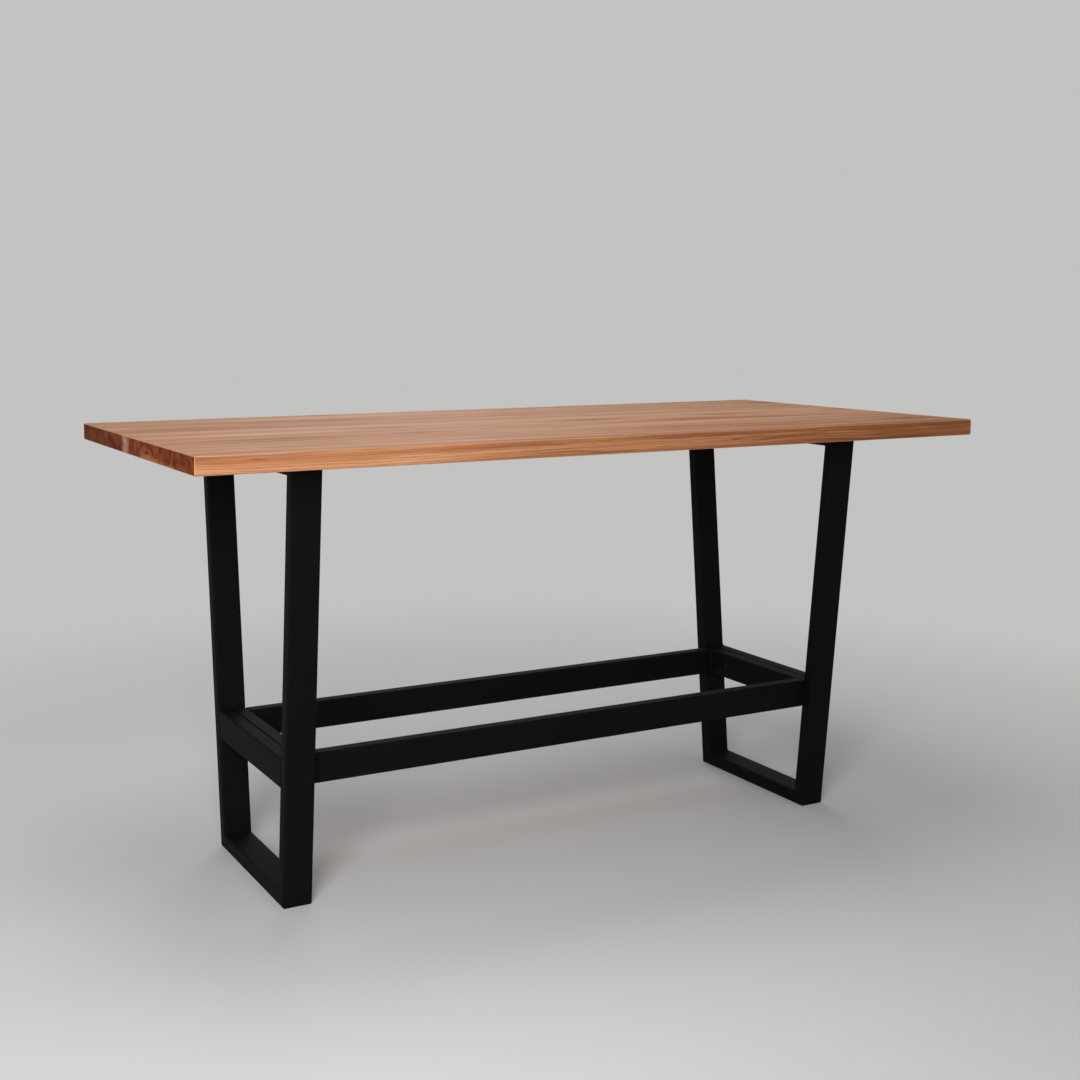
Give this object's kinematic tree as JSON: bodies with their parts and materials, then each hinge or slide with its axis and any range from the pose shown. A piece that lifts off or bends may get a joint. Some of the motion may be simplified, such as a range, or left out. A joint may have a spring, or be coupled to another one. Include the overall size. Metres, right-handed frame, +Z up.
{
  "type": "pub table",
  "caption": "Bar-height table with a rectangular edge-glued timber top on trapezoid black steel tube end frames, joined by a bolted rectangular tube footrest",
  "frame": {"origin": "On the floor, under the middle of the top.", "axes": "+X along the table, +Y across it towards the rear long edge, +Z up. The picture looks at the front long edge and the left end, so -Y and -X face the camera."},
  "size_m": [2.05, 0.95, 1.05],
  "materials": {
    "timber": "satin clear coat",
    "powder_coat": "matt powder coat",
    "black_steel": "black oxide",
    "zinc_steel": "bright zinc plate"
  },
  "bodies": {
    "root": {"top_board_1": "timber", "top_board_2": "timber", "top_board_3": "timber", "top_board_4": "timber", "top_board_5": "timber", "top_board_6": "timber", "top_board_7": "timber", "left_front_leg": "powder_coat", "left_rear_leg": "powder_coat", "left_base_bar": "powder_coat", "left_top_bar": "powder_coat", "left_crossbar": "powder_coat", "left_footrest_end": "powder_coat", "right_front_leg": "powder_coat", "right_rear_leg": "powder_coat", "right_base_bar": "powder_coat", "right_top_bar": "powder_coat", "right_crossbar": "powder_coat", "right_footrest_end": "powder_coat", "front_foot_rail": "powder_coat", "rear_foot_rail": "powder_coat", "top_inserts": "zinc_steel", "top_washers": "zinc_steel", "top_screws": "zinc_steel", "footrest_bolts": "black_steel", "footrest_nuts": "zinc_steel"}
  },
  "joints": []
}
